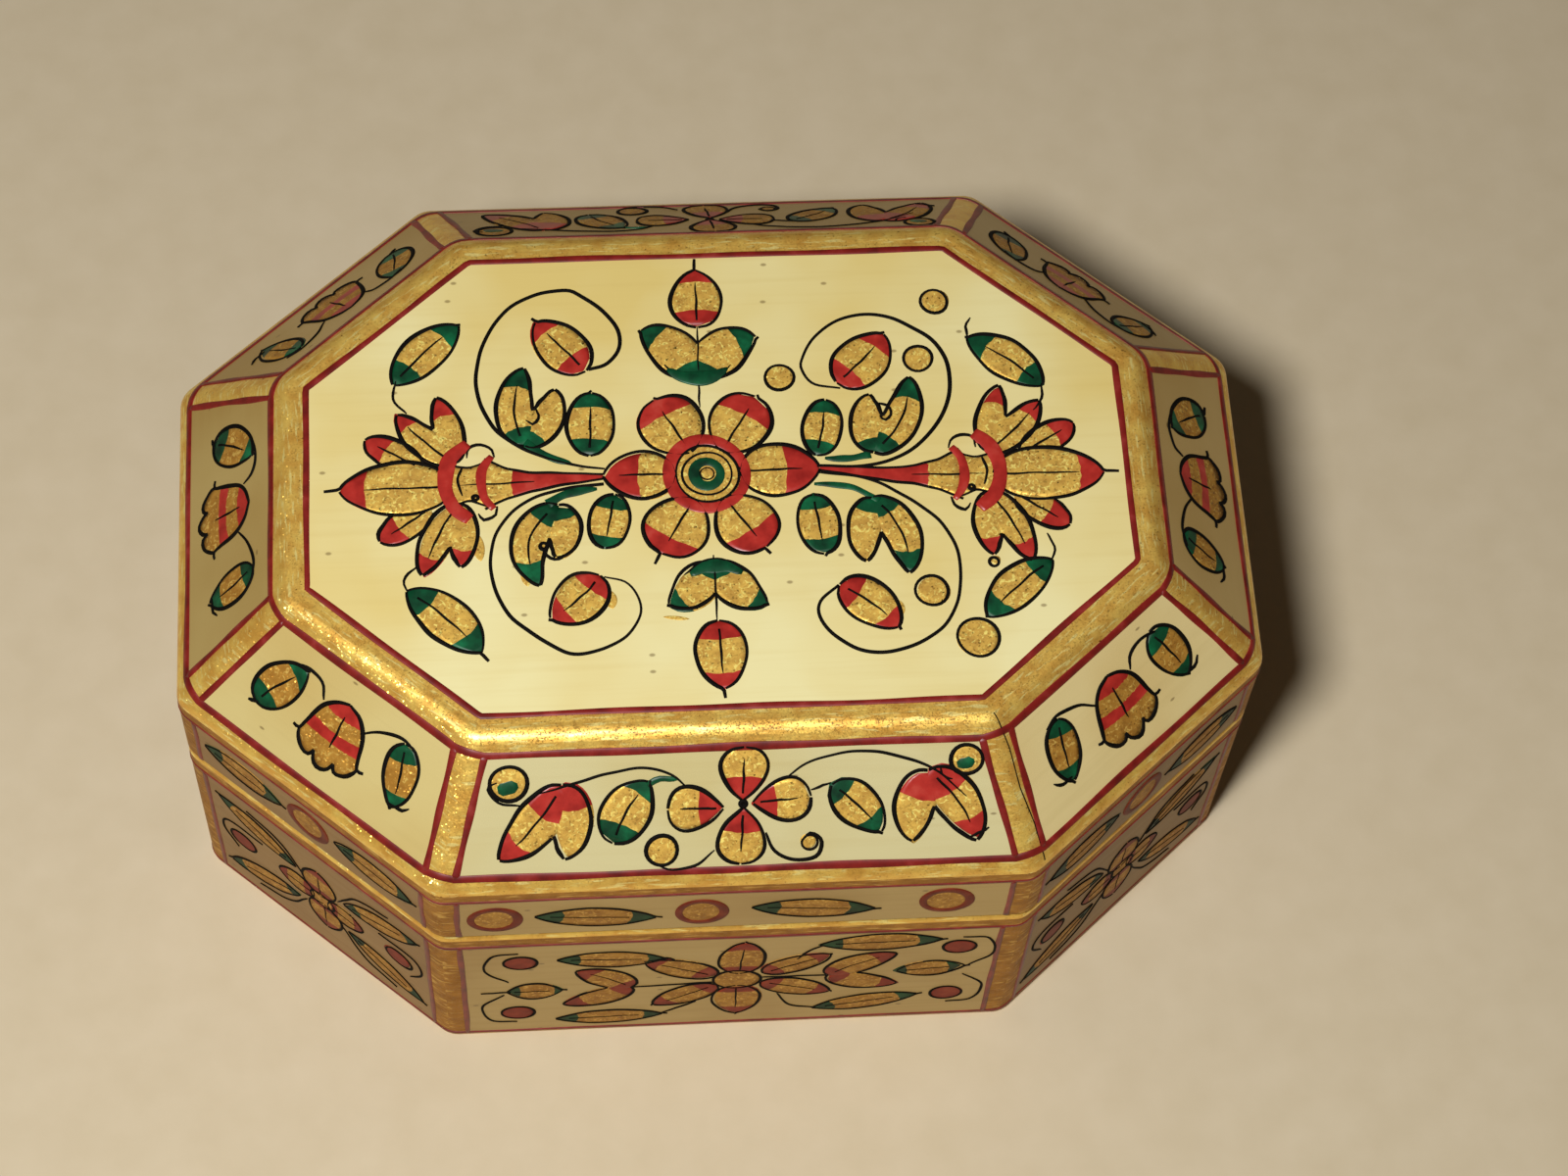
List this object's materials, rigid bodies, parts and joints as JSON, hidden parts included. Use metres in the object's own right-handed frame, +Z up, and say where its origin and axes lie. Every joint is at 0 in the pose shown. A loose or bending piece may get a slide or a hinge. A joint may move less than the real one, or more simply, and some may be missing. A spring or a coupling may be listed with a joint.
{
  "type": "inlaid wooden box",
  "caption": "Elongated octagonal trinket box in wood with let-in bone plates, gilded rounded edges, painted flowers and a bevelled lid on butt hinges.",
  "frame": {"origin": "centre of the underside, where the box rests", "axes": "+X along the box, +Y to the back where the hinges are, +Z up; the front faces -Y"},
  "size_m": [0.128, 0.092, 0.06],
  "materials": {
    "gilded_wood": "satin",
    "plain_wood": "satin",
    "bone": "gloss",
    "velvet": "matte",
    "brass": "satin"
  },
  "bodies": {
    "base": {"base_wall_front": "gilded_wood", "base_wall_front_right": "gilded_wood", "base_wall_right": "gilded_wood", "base_wall_back_right": "gilded_wood", "base_wall_back": "gilded_wood", "base_wall_back_left": "gilded_wood", "base_wall_left": "gilded_wood", "base_wall_front_left": "gilded_wood", "base_plate_front": "bone", "base_plate_front_right": "bone", "base_plate_right": "bone", "base_plate_back_right": "bone", "base_plate_back": "bone", "base_plate_back_left": "bone", "base_plate_left": "bone", "base_plate_front_left": "bone", "base_floor": "plain_wood", "floor_lining": "velvet", "hinge_base_leaf_left": "brass", "hinge_base_leaf_right": "brass", "hinge_pins": "brass", "hinge_base_nails": "brass"},
    "lid": {"lid_rail_front": "gilded_wood", "lid_rail_front_right": "gilded_wood", "lid_rail_right": "gilded_wood", "lid_rail_back_right": "gilded_wood", "lid_rail_back": "gilded_wood", "lid_rail_back_left": "gilded_wood", "lid_rail_left": "gilded_wood", "lid_rail_front_left": "gilded_wood", "lid_board": "plain_wood", "bevel_plate_front": "bone", "bevel_plate_front_right": "bone", "bevel_plate_right": "bone", "bevel_plate_back_right": "bone", "bevel_plate_back": "bone", "bevel_plate_back_left": "bone", "bevel_plate_left": "bone", "bevel_plate_front_left": "bone", "skirt_plate_front": "bone", "skirt_plate_front_right": "bone", "skirt_plate_right": "bone", "skirt_plate_back_right": "bone", "skirt_plate_back": "bone", "skirt_plate_back_left": "bone", "skirt_plate_left": "bone", "skirt_plate_front_left": "bone", "top_plate": "bone", "lid_lining": "velvet", "hinge_lid_leaf_left": "brass", "hinge_lid_leaf_right": "brass", "hinge_lid_nails": "brass"}
  },
  "joints": [
    {"name": "lid_hinge", "type": "hinge", "parent": "base", "child": "lid", "pos_m": [0, 0.0445, 0.03313], "axis": [-1, 0, 0], "range_deg": [0, 105]}
  ]
}
